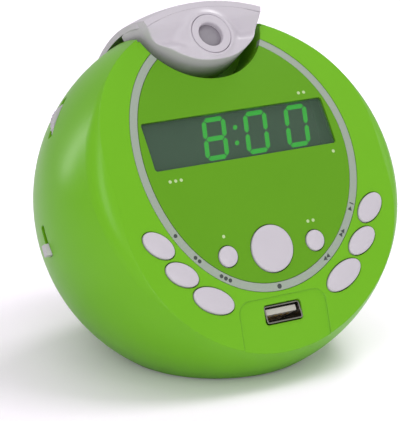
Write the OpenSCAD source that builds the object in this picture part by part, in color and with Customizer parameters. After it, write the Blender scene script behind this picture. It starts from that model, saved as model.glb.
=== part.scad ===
// Projection alarm clock: a ball standing on a flat base, cut by a curved face that carries
// the display and buttons, with a hinged time projector lying in a bay at the top.
// Millimetres. The origin is the middle of the base on the table, +Z up, the face towards -Y.

/* [Ball] */
// Diameter of the ball
ball_d = 120; // [116:1:130]
// Height of the ball's centre above the base plane
base_drop = 50.5; // [49:0.1:51.5]
// Wall of the two case shells
shell_wall = 2.4; // [2:0.1:3]
// Distance of the joint between front shell and rear cover behind the ball's centre
seam_y = 36; // [35.5:0.1:37]

/* [Face] */
// Angle that the face leans back from upright
face_tilt = 33; // [31:0.5:35]
// Distance from the ball's centre to the middle of the face
face_dist = 28.1; // [27:0.1:29]
// Radius of the face, which is rolled like a drum about a level axis
face_r = 180; // [150:5:260]
// Radius of the soft lip between face and ball
lip_r = 8; // [5:0.5:9]
// Thickness of the panel inside the ring
panel_t = 2.2; // [1.8:0.1:2.6]
// Width of the ledge that carries panel and ring
ledge_w = 3; // [2:0.5:4]
// Thickness of the ledge
ledge_t = 1.8; // [1.4:0.1:2.2]

/* [Ring] */
// Half width of the ring
ring_a = 39.3; // [38.5:0.1:40]
// Half height of the ring
ring_b = 45.2; // [44:0.1:46]
// Height of the ring's middle up the face
ring_v = 6.9; // [6:0.1:8]
// Width of the ring band
ring_w = 2.6; // [2:0.1:3.2]
// Gap between the ring and its neighbours
ring_gap = 0.15; // [0.1:0.05:0.3]

/* [Display] */
// Width of the window
window_w = 67; // [64:0.5:68]
// Height of the window
window_h = 16.4; // [15.5:0.1:18]
// Height of the window's middle up the face
window_v = 13.5; // [12.5:0.1:14.5]
// Height of a digit
digit_h = 14.2; // [12:0.1:14.4]
// Width of a digit
digit_w = 8.6; // [7:0.1:9.5]
// Distance from digit to digit
digit_pitch = 15.4; // [14:0.1:16]
// Width of a lit segment
segment_w = 1.5; // [1:0.1:2]
// Lean of the digits
digit_slant = 10; // [0:1:12]

/* [Buttons] */
// Radius of the big round button
big_r = 7.5; // [6.5:0.1:8]
// Radius of the hour and minute buttons
small_r = 3.3; // [2.8:0.1:3.8]
// Distance of the hour and minute buttons from the middle
small_u = 16.1; // [15:0.1:17.5]
// Height of the row of round buttons up the face
button_v = -25; // [-26:0.1:-24]
// Travel of the big round button
big_travel = 0.8; // [0.4:0.1:1]
// Travel of every other button
small_travel = 0.6; // [0.3:0.1:0.8]
// Height of the buttons above the face
button_proud = 1.2; // [0.8:0.1:1.6]
// Gap all round a button
button_gap = 0.3; // [0.2:0.05:0.4]

/* [Projector] */
// Radius of the bay in the top of the ball
bay_r = 23.3; // [22.5:0.1:24]
// Height of the bay's axis up the face
bay_v = 56.9; // [56:0.1:58]
// Wall of the bay
bay_wall = 2; // [1.6:0.1:2.6]
// Height of the bay's floor above the ball's centre, along the bay's axis
bay_floor = 7.5; // [6:0.1:9]
// Gap between the projector and the bay
pod_gap = 0.8; // [0.6:0.1:1.2]
// Height of the projector's front rim along the bay's axis when it is shut
pod_front = 26; // [25.5:0.1:27]
// Thickness of the projector's top cover
pod_cover_t = 1.9; // [1.5:0.1:2.2]
// Height of the projector's top above the ball when it is shut
pod_rise = 1.3; // [1:0.1:2]
// Angle by which the projector is raised
pod_open = 6; // [0:1:20]
// Distance of the hinge behind the ball's centre
hinge_y = 42.3; // [42:0.1:43]
// Height of the hinge above the ball's centre
hinge_z = 36.5; // [36:0.1:37]
// Radius of the hinge pin
pin_r = 1.25; // [1:0.05:1.4]
// Height of the lens axis up the face when the projector is shut
lens_v = 43.4; // [43:0.1:44]
// Radius of the turning focus ring
focus_r = 6.7; // [6:0.1:7]
// Radius of the opening in front of the lens
lens_hole_r = 4.2; // [3.5:0.1:4.5]

/* [Side controls] */
// Radius of the volume wheel
wheel_r = 8.5; // [7.5:0.1:9.5]
// How far the wheel stands out of the ball
wheel_proud = 1.2; // [0.8:0.1:1.6]
// Thickness of the wheel
wheel_t = 2.6; // [2:0.1:3]
// Travel of the slide switch
slide_travel = 6; // [4:0.5:7]
// Length of the slide switch's knob
knob_l = 3.8; // [3.4:0.1:5]

/* [Sockets and speaker] */
// Radius of the audio socket's bore
aux_r = 1.8; // [1.6:0.05:1.9]
// Radius of the loudspeaker
speaker_r = 18; // [16:0.5:19]
// Radius of one hole of the grille
grille_hole_r = 1; // [0.8:0.1:1.2]

/* [Base] */
// Length of a backup cell
cell_l = 44.5; // [43.5:0.1:45]
// Diameter of a backup cell
cell_d = 10.5; // [10:0.1:10.6]
// Radius of a foot
foot_r = 3.6; // [3:0.1:4]
// How far the feet stand below the base
foot_proud = 0.5; // [0.3:0.1:1]

/* [Hidden] */

case_green = [0.44, 0.69, 0.18];
panel_green = [0.41, 0.63, 0.19];
lilac_white = [0.82, 0.79, 0.82];
board_green = [0.1, 0.35, 0.2];
steel = [0.75, 0.75, 0.77];
dark = [0.12, 0.12, 0.13];

ball_fn = 128;
roll_fn = 360;
fine_fn = 64;
eps = 0.01;
fit = 0.05;         // running fit of pins, shanks and shafts in their holes
far = 200;          // longer than anything in the model

ball_r = ball_d / 2;
cavity_r = ball_r - shell_wall;
ball_z = base_drop + foot_proud;

// Height of the face surface above the ball's centre, at height v up the face
function face_n(v) = face_dist - face_r + sqrt(face_r * face_r - v * v);
// Radius across a sphere of radius r at distance d from its centre
function cut_r(r, d) = sqrt(r * r - d * d);

// ---------- frames ----------

module at_ball() translate([0, 0, ball_z]) children();

// Face frame: X across the face, Y up it, Z out of it
module in_face() rotate([90 - face_tilt, 0, 0]) children();

module at_face() at_ball() in_face() children();

hinge_v = hinge_y * sin(face_tilt) + hinge_z * cos(face_tilt);
hinge_n = hinge_z * sin(face_tilt) - hinge_y * cos(face_tilt);
hinge_angle = atan2(hinge_y, hinge_z);
hinge_dist = sqrt(hinge_y * hinge_y + hinge_z * hinge_z);

// Face frame carried by the projector, raised by pod_open about its hinge
module at_pod()
    at_face()
        translate([0, hinge_v, hinge_n]) rotate([-pod_open, 0, 0]) translate([0, -hinge_v, -hinge_n])
            children();

// Frame at the hinge: X along the pin, Y down the back of the ball, Z out of it
module in_hinge() rotate([-hinge_angle, 0, 0]) translate([0, 0, hinge_dist]) children();

module in_pod_hinge() rotate([face_tilt - 90, 0, 0]) in_hinge() children();

module both_sides() {
    children();
    mirror([1, 0, 0]) children();
}

// ---------- plain shapes ----------

module rod_x(r, l, fn = fine_fn) rotate([0, 90, 0]) cylinder(r = r, h = l, center = true, $fn = fn);

module rod_back(r, l, fn = fine_fn) rotate([-90, 0, 0]) cylinder(r = r, h = l, $fn = fn);

module box(size) translate([0, 0, size[2] / 2]) cube(size, center = true);

module round_rect(w, h, r) {
    square([w - 2 * r, h], center = true);
    square([w, h - 2 * r], center = true);
    for (x = [-1, 1], y = [-1, 1])
        translate([x * (w / 2 - r), y * (h / 2 - r)]) circle(r = r, $fn = 32);
}

// Oval, half width a, half height b
module oval(a, b) scale([a / b, 1]) circle(r = b, $fn = ball_fn);

// Everything under the face surface raised by h, in the face frame
module under_face(h = 0)
    translate([0, 0, face_dist - face_r]) rod_x(face_r + h, ball_d + 20, roll_fn);

// The layer of the face from depth h0 to depth h1
module face_layer(h0, h1)
    difference() {
        under_face(h1);
        under_face(h0);
    }

module prism(n0 = 0, n1 = 60) translate([0, 0, n0]) linear_extrude(n1 - n0) children();

// ---------- the ball and its hollow ----------

// Soft lip: the ball and a flat just above the face joined by an arc
lip_rise = 0.1;

module lip_form() {
    lip_n = face_dist + lip_rise - lip_r;
    lip_x = cut_r(ball_r - lip_r, lip_n);
    lip_angle = atan2(lip_x, lip_n);
    rotate_extrude($fn = ball_fn) intersection() {
        union() {
            translate([0, -ball_r / 2]) square([lip_x, ball_r / 2 + face_dist + lip_rise]);
            translate([lip_x, lip_n]) circle(r = lip_r, $fn = fine_fn);
            intersection() {
                circle(r = ball_r, $fn = ball_fn);
                polygon([[0, 0], [far * sin(lip_angle), far * cos(lip_angle)], [far, -far], [0, -far]]);
            }
        }
        translate([0, -ball_r]) square([ball_r, 2 * ball_r]);
    }
}

module ball_solid() intersection() {
    in_face() intersection() {
        under_face();
        lip_form();
    }
    translate([0, 0, -base_drop]) box([2 * ball_d, 2 * ball_d, 2 * ball_d]);
}

module hollow() intersection() {
    sphere(r = cavity_r, $fn = ball_fn);
    in_face() under_face(-shell_wall);
    translate([0, 0, shell_wall - base_drop]) box([2 * ball_d, 2 * ball_d, 2 * ball_d]);
}

module behind_seam(gap = 0) translate([0, seam_y + gap + ball_r, 0]) cube(ball_d, center = true);

// ---------- the projector's bay, in the face frame ----------

bay_lip = 0.02;             // how far panel and ring stay behind the bay's edge

module bay_rod(grow = 0, n0 = bay_floor)
    translate([0, bay_v, n0]) cylinder(r = bay_r + grow, h = 60, $fn = ball_fn);

// Shallow track in the ball behind the bay, under the projector's cover
track_depth = 1.2;
track_gap = 0.6;
track_end = 2.8;    // distance of the track's end in front of the hinge

module strip_zone(half_w, end_gap) intersection() {
    in_hinge() translate([0, -end_gap - far / 4, 0]) cube([2 * half_w, far / 2, 40], center = true);
    translate([0, ball_r / 2 + 10, ball_r / 2 + 8]) cube([ball_d, ball_r, ball_r], center = true);
}

module track() difference() {
    intersection() {
        sphere(r = ball_r + 5, $fn = ball_fn);
        strip_zone(bay_r - pod_gap + track_gap, track_end);
    }
    sphere(r = ball_r - track_depth, $fn = ball_fn);
}

// ---------- hinge of the projector ----------

barrel_r = 4.2;
barrel_l = 22;
pocket_gap = 0.6;
ear_t = 4;
ear_wall = 1.6;

module hinge_pocket() in_hinge() {
    rod_x(barrel_r + pocket_gap, barrel_l + 2 * pocket_gap);
    translate([0, 0, 5]) cube([barrel_l + 2 * pocket_gap, 2 * (barrel_r + pocket_gap), 10], center = true);
}

module hinge_bore() in_hinge() translate([-fit, 0, 0]) rod_x(pin_r + fit, barrel_l + 2 * ear_t - 1);

module hinge_housing() intersection() {
    in_hinge() rod_x(barrel_r + pocket_gap + ear_wall, barrel_l + 2 * (pocket_gap + ear_t));
    sphere(r = ball_r - 0.2, $fn = ball_fn);
}

// ---------- outlines on the face ----------

panel_a = ring_a - ring_w - ring_gap;
panel_b = ring_b - ring_w - ring_gap;
ledge_a = panel_a - ledge_w;
ledge_b = panel_b - ledge_w;

// Edge of the bay, where panel and ring end
module bay_edge() translate([0, bay_v]) circle(r = bay_r + bay_lip, $fn = ball_fn);

module ring_outline(grow = 0) translate([0, ring_v]) oval(ring_a + grow, ring_b + grow);

module panel_outline(grow = 0) translate([0, ring_v]) oval(panel_a + grow, panel_b + grow);

// Oval buttons: place across, place up, half length, half width, turn
OVALS = [
    [39.1, -17.8, 5.8, 3.5, 40],
    [33.3, -27.9, 5.9, 3.4, 31],
    [24.1, -37.5, 7.3, 3.8, 26]
];

module oval_outline(i, grow = 0)
    translate([OVALS[i][0], OVALS[i][1]]) rotate(OVALS[i][4] - 90)
        oval(OVALS[i][3] + grow, OVALS[i][2] + grow);

usb_v = -45;
usb_w = 13.1;
usb_h = 5.7;
usb_corner = 0.8;
usb_depth = 13.8;

module usb_outline(grow = 0)
    translate([0, usb_v])
        round_rect(usb_w + 2 * grow, usb_h + 2 * grow, usb_corner + max(grow, -usb_corner / 2));

// ---------- boards, both parallel to the face ----------

board_t = 1.6;
display_n = 13.6;           // back of the display board
display_board_r = 49;
display_top = 30.5;
main_n = -12;               // back of the main board
board_gap = 1;              // room between the main board and the ball's wall
main_board_r = cut_r(cavity_r, main_n) - board_gap;
main_top = 34;
main_bottom = -32;
boss_r = 3;
pilot_r = 1.05;
screw_r = 1;
head_r = 2;
head_t = 1.4;
DISPLAY_BOSSES = [[45, 6], [41.3, -30.5]];
MAIN_BOSSES = [[50.4, 12], [47, -22]];
USB_BOSSES = [[11, -50.3]];
usb_board_n = 6.7;
usb_board_w = 28;
usb_board_h = 14.4;
usb_board_v = usb_v - 0.6;
boss_l = 12;                // length of the display board's bosses

// Boss along the face's axis, tied to the ball's wall by a web
module wall_boss(at, n0, n1) {
    turn = atan2(at[1], at[0]);
    reach = sqrt(at[0] * at[0] + at[1] * at[1]);
    translate([0, 0, n0]) linear_extrude(n1 - n0) {
        translate(at) circle(r = boss_r, $fn = fine_fn);
        rotate(turn) translate([reach, -1.2]) square([ball_r - reach, 2.4]);
    }
}

module pilots(places, n0, n1) both_sides()
    for (p = places) translate([p[0], p[1], n0]) cylinder(r = screw_r + fit, h = n1 - n0, $fn = fine_fn);

// ---------- case shells ----------

POSTS = [[31.8, 26.7], [31.8, -26.7]];
post_r = 3.2;
post_l = 10;
case_head_r = 2.5;
case_head_t = 1.8;
case_shank_r = 1.25;
case_shank_l = 9;
case_seat = 2.6;            // thickness of cover under a screw head

module at_posts(y) both_sides() for (p = POSTS) translate([p[0], y, p[1]]) children();

module post_body() {
    rod_back(post_r, post_l);
    translate([0, 0, -1.2]) cube([20, post_l, 2.4]);
}

// Sides of the slots for the volume wheel and the slide switch
wheel_n = 0.5;
wheel_turn = 143.7;         // direction of the wheel from the middle of the ball
wheel_reach = cut_r(ball_r, wheel_n) + wheel_proud - wheel_r;
wheel_u = wheel_reach * cos(wheel_turn);
wheel_v = wheel_reach * sin(wheel_turn);
wheel_gap = 0.5;
wheel_meet = (wheel_reach * wheel_reach + cavity_r * cavity_r - wheel_r * wheel_r) / (2 * wheel_reach);
wheel_slot_l = 2 * (cut_r(cavity_r, wheel_meet) + wheel_gap);

slide_n = -7.7;
slide_v = -5.4;             // knob at rest, at the lower end of its slot
knob_w = 2.4;
knob_proud = 1;
slot_gap = 0.3;

module wheel_slot() translate([0, 0, wheel_n]) rotate(wheel_turn)
    translate([ball_r - 5, 0, 0]) rotate([0, 90, 0])
        linear_extrude(20) round_rect(wheel_t + 2 * wheel_gap, wheel_slot_l, 1.2);

module slide_slot() translate([-ball_r + 6, slide_v + slide_travel / 2, slide_n]) rotate([0, -90, 0])
    linear_extrude(20) round_rect(knob_w + 2 * slot_gap, knob_l + slide_travel + 2 * slot_gap, 0.8);

module front_openings() {
    // Display and buttons
    prism() ring_outline(ring_gap);
    for (i = [0 : 2]) both_sides() prism(n0 = 10) oval_outline(i, button_gap);
    prism() usb_outline(button_gap);
    // Shallow step round the socket, open at the bottom lip
    intersection() {
        face_layer(-usb_step, 8);
        prism() translate([0, usb_v - 9]) round_rect(2 * usb_step_a, 2 * 14.2, 4);
    }
}

usb_step = 0.4;
usb_step_a = 16;

// Ledge under panel and ring, with room for the lips of window and buttons
module ledge() intersection() {
    face_layer(-panel_t - ledge_t, -panel_t + 0.2);
    difference() {
        prism() ring_outline(1.5);
        prism() {
            translate([0, ring_v]) oval(ledge_a, ledge_b);
            window_outline(window_lip + lip_room);
            translate([0, button_v]) circle(r = big_r + button_lip + lip_room, $fn = fine_fn);
            for (x = [-1, 1])
                translate([x * small_u, button_v]) circle(r = small_r + button_lip + lip_room, $fn = fine_fn);
        }
        for (i = [0 : 2]) both_sides() prism() oval_outline(i, oval_lip + lip_room);
    }
}

// Everything above the ledge and the bay's wall inside the ring
module panel_seat() intersection() {
    face_layer(-panel_t, 8);
    prism() ring_outline(ring_gap);
}

module front_shell() color(case_green) at_ball() difference() {
    union() {
        difference() {
            ball_solid();
            hollow();
            in_face() front_openings();
        }
        intersection() {
            ball_solid();
            in_face() {
                ledge();
                bay_rod(bay_wall, bay_floor - bay_wall);
                both_sides() for (p = DISPLAY_BOSSES)
                    translate([p[0], p[1], display_n + board_t])
                        cylinder(r = boss_r - 0.2, h = boss_l, $fn = fine_fn);
                both_sides() for (p = MAIN_BOSSES) wall_boss(p, main_n + board_t, main_n + board_t + 8);
                both_sides() for (p = USB_BOSSES) wall_boss(p, usb_board_n + board_t, display_n - 0.5);
            }
        }
        intersection() {
            sphere(r = ball_r - 0.5, $fn = ball_fn);
            at_posts(seam_y - post_l) post_body();
        }
    }
    behind_seam();
    in_face() {
        panel_seat();
        bay_rod();
        wheel_slot();
        slide_slot();
        pilots(DISPLAY_BOSSES, display_n, display_n + board_t + 6);
        pilots(MAIN_BOSSES, main_n, main_n + board_t + 6);
        pilots(USB_BOSSES, usb_board_n, usb_board_n + board_t + 4);
    }
    track();
    at_posts(seam_y - post_l + 1) rod_back(case_shank_r + fit, post_l + 1);
    battery_opening();
    foot_seats();
}

// ---------- base ----------

base_z = -base_drop;
floor_z = shell_wall - base_drop;
tray_spare = 5;             // room for the contacts at the ends of the cells
tray_l = cell_l + tray_spare;
tray_w = 2 * cell_d + 1.2;
tray_wall = 1.4;
tray_h = cell_d + 0.8;
door_lip = 1.8;
door_t = 1.2;
door_gap = 0.2;
door_travel = 12;
foot_seat = 0.5;
FEET = [[20.5, 18], [20.5, -18]];

module battery_opening() {
    translate([0, 0, base_z - 1]) linear_extrude(20 + 1) square([tray_l, tray_w], center = true);
    translate([0, 0, base_z - 1]) linear_extrude(door_t + door_gap + 1)
        round_rect(tray_l + 2 * door_lip, tray_w + 2 * door_lip, 2);
}

module at_feet(z) both_sides() for (p = FEET) translate([p[0], p[1], z]) children();

module foot_seats() at_feet(base_z - 1) cylinder(r = foot_r + fit, h = foot_seat + 1, $fn = fine_fn);

// ---------- rear cover ----------

speaker_z = -2;
speaker_y = 43;             // front of the speaker's flange
flange_t = 1.6;
seat_wall = 1.5;
grille_pitch = 3.2;
jack_z = -30;
jack_x = 13;
jack_board_y = 32;
pocket_y = 46.2;
pocket_wall = 1.6;
pocket_w = 42;
pocket_h = 13;
power_r = 3.2;
spigot_l = 3;
spigot_gap = 0.25;
spigot_wall = 1.3;
spigot_r = cut_r(cavity_r, seam_y) - spigot_gap;
JACK_BOSSES = [[21, -30]];

function grille_in(x, z) = x * x + z * z < (speaker_r - 3) * (speaker_r - 3);

module grille_holes() for (i = [-6 : 6], j = [-6 : 6]) {
    x = grille_pitch * (i + (abs(j) % 2) / 2);
    z = grille_pitch * j * sqrt(3) / 2;
    if (grille_in(x, z)) translate([x, speaker_y, speaker_z + z]) rod_back(grille_hole_r, 20, 24);
}

module pocket_block(grow, y0) translate([0, y0, jack_z]) rotate([-90, 0, 0]) linear_extrude(20)
    round_rect(pocket_w + 2 * grow, pocket_h + 2 * grow, 2 + grow);

module at_jack_bosses(y) both_sides() for (p = JACK_BOSSES) translate([p[0], y, p[1]]) children();

module rear_cover() color(case_green) at_ball() difference() {
    union() {
        difference() {
            sphere(r = ball_r, $fn = ball_fn);
            sphere(r = cavity_r, $fn = ball_fn);
        }
        hinge_housing();
        intersection() {
            sphere(r = ball_r - 0.3, $fn = ball_fn);
            union() {
                // Seat of the speaker
                translate([0, speaker_y, speaker_z]) rod_back(speaker_r + 0.2 + seat_wall, 20, ball_fn);
                pocket_block(pocket_wall, pocket_y - pocket_wall);
                at_posts(seam_y) rod_back(case_head_r + 1.5, 12);
                at_jack_bosses(jack_board_y + board_t) rod_back(boss_r - 0.4, 14);
            }
        }
        // Spigot that locates the cover in the front shell
        translate([0, seam_y - spigot_l, 0]) difference() {
            rod_back(spigot_r, spigot_l + 1.5, ball_fn);
            translate([0, -1, 0]) rod_back(spigot_r - spigot_wall, spigot_l + 4, ball_fn);
        }
    }
    difference() {
        translate([0, seam_y - ball_r, 0]) cube([2 * ball_d, 2 * ball_r, 2 * ball_d], center = true);
        translate([0, seam_y - spigot_l, 0])
            rod_back(spigot_r, spigot_l + 1.5, ball_fn);
        at_jack_bosses(jack_board_y + board_t) rod_back(boss_r - 0.4, 14);
    }
    // Room for the posts in the spigot
    at_posts(seam_y - post_l) {
        rod_back(post_r + 0.4, post_l);
        translate([0, 0, -1.6]) cube([20, post_l, 3.2]);
    }
    // Screws
    at_posts(seam_y - 1) rod_back(case_shank_r + fit, 20);
    at_posts(seam_y + case_seat) rod_back(case_head_r + 0.3, 20);
    // Speaker, grille and sockets
    translate([0, speaker_y - 1, speaker_z]) rod_back(speaker_r + 0.2, flange_t + 1 + fit, ball_fn);
    intersection() {
        translate([0, speaker_y - 1, speaker_z]) rod_back(speaker_r - 2, 20, ball_fn);
        sphere(r = cavity_r, $fn = ball_fn);
    }
    grille_holes();
    pocket_block(0, pocket_y);
    translate([-jack_x, pocket_y - 5, jack_z]) rod_back(power_r + 1.2, 10);
    translate([jack_x, pocket_y - 5, jack_z]) rod_back(3.2, 10);
    at_jack_bosses(jack_board_y) rod_back(screw_r + fit, board_t + 6);
    track();
    hinge_pocket();
    hinge_bore();
}

// ---------- face parts ----------

window_depth = 0.7;         // how far the window lies below the face
window_t = 1.9;
window_gap = 0.1;
window_lip = 1.5;
window_lip_t = 1;

module window_outline(grow = 0)
    translate([0, window_v]) round_rect(window_w + 2 * grow, window_h + 2 * grow, 1 + grow);

module face_panel() color(panel_green) at_face() difference() {
    intersection() {
        face_layer(-panel_t, 0);
        prism() panel_outline();
    }
    prism() {
        bay_edge();
        window_outline();
        translate([0, button_v]) circle(r = big_r + button_gap, $fn = fine_fn);
        for (x = [-1, 1]) translate([x * small_u, button_v]) circle(r = small_r + button_gap, $fn = fine_fn);
    }
}

module ring_trim() color("silver") at_face() difference() {
    intersection() {
        face_layer(-panel_t, -0.1);
        prism() ring_outline();
    }
    prism() {
        panel_outline(ring_gap);
        bay_edge();
    }
}

module display_window() color([0.2, 0.35, 0.25]) at_face() {
    intersection() {
        face_layer(-window_depth - window_t, -window_depth);
        prism() window_outline(-window_gap);
    }
    intersection() {
        face_layer(-panel_t - window_lip_t, -panel_t);
        prism() window_outline(window_lip);
    }
}

// ---------- buttons ----------

button_lip = 1;
oval_lip = 0.6;
lip_room = 0.25;
button_lip_t = 1;
lip_gap = 0.1;
stem_r = 1.6;
tact_body = 3.2;
tact_h = 4.1;
tact_w = 6;
stem_gap = 0.1;
display_front = display_n + board_t;

// Button: cap through the face, lip behind it and stem down to its switch
module button(at, travel, wall_t) {
    intersection() {
        face_layer(-wall_t - lip_gap - button_lip_t / 2, button_proud);
        prism() children(0);
    }
    intersection() {
        face_layer(-wall_t - lip_gap - button_lip_t, -wall_t - lip_gap);
        prism() children(1);
    }
    stem_n = display_front + tact_h + travel + stem_gap;
    translate([at[0], at[1], stem_n])
        cylinder(r = stem_r, h = face_n(at[1]) - wall_t - stem_n, $fn = fine_fn);
}

module round_button(u, r, travel) button([u, button_v], travel, panel_t) {
    translate([u, button_v]) circle(r = r, $fn = fine_fn);
    translate([u, button_v]) circle(r = r + button_lip, $fn = fine_fn);
}

module oval_button(i) button(OVALS[i], small_travel, shell_wall) {
    oval_outline(i);
    oval_outline(i, oval_lip);
}

module main_button() color(lilac_white) at_face() round_button(0, big_r, big_travel);
module hour_button() color(lilac_white) at_face() round_button(-small_u, small_r, small_travel);
module minute_button() color(lilac_white) at_face() round_button(small_u, small_r, small_travel);
module left_upper_button() color(lilac_white) at_face() mirror([1, 0, 0]) oval_button(0);
module left_middle_button() color(lilac_white) at_face() mirror([1, 0, 0]) oval_button(1);
module left_lower_button() color(lilac_white) at_face() mirror([1, 0, 0]) oval_button(2);
module right_upper_button() color(lilac_white) at_face() oval_button(0);
module right_middle_button() color(lilac_white) at_face() oval_button(1);
module right_lower_button() color(lilac_white) at_face() oval_button(2);

// ---------- display board ----------

SWITCHES = concat([[0, button_v], [-small_u, button_v], [small_u, button_v]],
    [for (o = OVALS, s = [-1, 1]) [s * o[0], o[1]]]);
led_n = 23;                 // front of the display module
led_w = 65.4;
led_h = 18.6;
led_u = -1.4;
segment_t = 0.2;
notch_w = 20;

module display_board() color(board_green) at_face() translate([0, 0, display_n]) difference() {
    linear_extrude(board_t) difference() {
        circle(r = display_board_r, $fn = ball_fn);
        translate([-far, display_top]) square([2 * far, far]);
        translate([-notch_w / 2, -far - 38.5]) square([notch_w, far]);
    }
    pilots(DISPLAY_BOSSES, -1, board_t + 1);
}

module tact_switches() color(dark) at_face() for (p = SWITCHES) translate([p[0], p[1], display_front]) {
    box([tact_w, tact_w, tact_body]);
    cylinder(r = 1.7, h = tact_h, $fn = fine_fn);
}

module led_display() color(dark) at_face()
    translate([led_u, window_v, display_front]) box([led_w, led_h, led_n - display_front]);

// One lit bar of a digit, with pointed ends
module bar(l) polygon([
    [-l / 2, 0], [-l / 2 + segment_w / 2, segment_w / 2], [l / 2 - segment_w / 2, segment_w / 2],
    [l / 2, 0], [l / 2 - segment_w / 2, -segment_w / 2], [-l / 2 + segment_w / 2, -segment_w / 2]
]);

// Bars of a seven-segment digit: place, turn
bar_gap = 0.25;
bar_x = (digit_w - segment_w) / 2;
bar_y = (digit_h - segment_w) / 2;
BARS = [
    [0, bar_y, 0], [bar_x, bar_y / 2, 90], [bar_x, -bar_y / 2, 90], [0, -bar_y, 0],
    [-bar_x, -bar_y / 2, 90], [-bar_x, bar_y / 2, 90], [0, 0, 0]
];
EIGHT = [0, 1, 2, 3, 4, 5, 6];
ZERO = [0, 1, 2, 3, 4, 5];

module digit(lit) for (i = lit)
    translate([BARS[i][0], BARS[i][1]]) rotate(BARS[i][2])
        bar((BARS[i][2] == 0 ? 2 * bar_x : bar_y) - 2 * bar_gap);

module slanted()
    multmatrix([[1, tan(digit_slant), 0, 0], [0, 1, 0, 0], [0, 0, 1, 0], [0, 0, 0, 1]]) children();

digit_u = 8.6;              // middle of the tens of minutes
digit_dv = 0.8;             // how far the digits stand above the window's middle
colon_u = digit_u - digit_pitch / 2;
colon_dv = 2.6;

module lit_segments() color([0.25, 0.85, 0.25]) at_face()
    translate([0, window_v + digit_dv, led_n]) linear_extrude(segment_t)
    slanted() {
        translate([digit_u - digit_pitch, 0]) digit(EIGHT);
        translate([digit_u, 0]) digit(ZERO);
        translate([digit_u + digit_pitch, 0]) digit(ZERO);
        for (y = [-1, 1]) translate([colon_u, y * colon_dv]) circle(r = segment_w / 2, $fn = 24);
    }

module screw(head, head_l, shank, shank_l) {
    cylinder(r = head, h = head_l, $fn = fine_fn);
    translate([0, 0, -shank_l]) cylinder(r = shank, h = shank_l + eps, $fn = fine_fn);
}

// Screws through a board from behind
module board_screws_at(places, n) both_sides()
    for (p = places) translate([p[0], p[1], n]) rotate([180, 0, 0]) screw(head_r, head_t, screw_r, 5.4);

module display_screws() color(steel) at_face() board_screws_at(DISPLAY_BOSSES, display_n);

// ---------- USB socket ----------

usb_shell_t = 0.4;
usb_front = face_n(usb_v) - usb_step - 0.1;
usb_back = usb_board_n + board_t;
tongue_w = 11.1;
tongue_t = 1.84;
tongue_sink = 1.2;          // how far the tongue ends behind the socket's front
tongue_v = usb_v + usb_h / 2 - usb_shell_t - 0.5 - tongue_t / 2;

module usb_shell() color(steel) at_face() difference() {
    prism(usb_back, usb_front) usb_outline();
    prism(usb_back + usb_shell_t, usb_front + 1) usb_outline(-usb_shell_t);
}

module usb_tongue() color("white") at_face() {
    translate([0, tongue_v, usb_back + usb_shell_t])
        box([tongue_w, tongue_t, usb_front - usb_back - usb_shell_t - tongue_sink]);
}

module usb_contacts() color("gold") at_face() for (x = [-3.5, -1, 1, 3.5])
    translate([x, tongue_v - tongue_t / 2 - 0.1, usb_back + usb_shell_t + 2])
        box([1, 0.2, usb_front - usb_back - 6]);

module usb_board() color(board_green) at_face() translate([0, 0, usb_board_n]) difference() {
    translate([0, usb_board_v, 0]) box([usb_board_w, usb_board_h, board_t]);
    pilots(USB_BOSSES, -1, board_t + 1);
}

// ---------- main board ----------

main_front = main_n + board_t;

module main_board() color(board_green) at_face() translate([0, 0, main_n]) difference() {
    linear_extrude(board_t) intersection() {
        circle(r = main_board_r, $fn = ball_fn);
        translate([-far, main_bottom]) square([2 * far, main_top - main_bottom]);
    }
    pilots(MAIN_BOSSES, -1, board_t + 1);
}

module main_screws() color(steel) at_face() {
    board_screws_at(MAIN_BOSSES, main_n);
    board_screws_at(USB_BOSSES, usb_board_n);
}

tuner_at = [22, -16];
tuner_size = [14, 12, 3];

module tuner_can() color(steel) at_face() translate([tuner_at[0], tuner_at[1], main_front]) box(tuner_size);

CHIPS = [[0, 2, 10, 10, 1.4], [-16, -18, 8, 5, 1.6], [18, 12, 6, 5, 1.5]];
CAPACITORS = [[-6, -24, 3, 8], [4, -24, 3, 8], [-30, -6, 2.5, 6]];

module chips() color(dark) at_face() {
    for (c = CHIPS) translate([c[0], c[1], main_front]) box([c[2], c[3], c[4]]);
    for (c = CAPACITORS) translate([c[0], c[1], main_front]) cylinder(r = c[2], h = c[3], $fn = 32);
}

// ---------- side controls ----------

spindle_r = 1.5;
pot_r = 3.4;
pot_h = 5;
hub_gap = 0.1;
groove_r = 0.45;
grooves = 40;

module volume_wheel() color(lilac_white) at_face()
translate([wheel_u, wheel_v, wheel_n - wheel_t / 2]) difference() {
    cylinder(r = wheel_r, h = wheel_t, $fn = ball_fn);
    translate([0, 0, -1]) cylinder(r = spindle_r + fit, h = wheel_t + 2, $fn = fine_fn);
    for (i = [0 : grooves - 1]) rotate(i * 360 / grooves)
        translate([wheel_r + 0.15, 0, -1]) cylinder(r = groove_r, h = wheel_t + 2, $fn = 16);
}

module volume_pot() color(dark) at_face() translate([wheel_u, wheel_v, main_front]) {
    cylinder(r = pot_r, h = pot_h, $fn = fine_fn);
    cylinder(r = 2.4, h = wheel_n - wheel_t / 2 - main_front - hub_gap, $fn = fine_fn);
    cylinder(r = spindle_r, h = wheel_n + wheel_t / 2 - main_front + 0.4, $fn = fine_fn);
}

switch_w = 6;               // size of the slide switch's body
switch_l = 14;
switch_u = -46.4;           // outer side of the body
stalk = 1.4;

module slide_knob() color(lilac_white) at_face() translate([0, slide_v, slide_n]) {
    translate([-(ball_r + knob_proud), -knob_l / 2, -knob_w / 2])
        cube([knob_proud + 2 * shell_wall, knob_l, knob_w]);
    translate([-ball_r + 1, -stalk, -stalk / 2]) cube([ball_r - 1 + switch_u - 0.3, 2 * stalk, stalk]);
}

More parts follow.
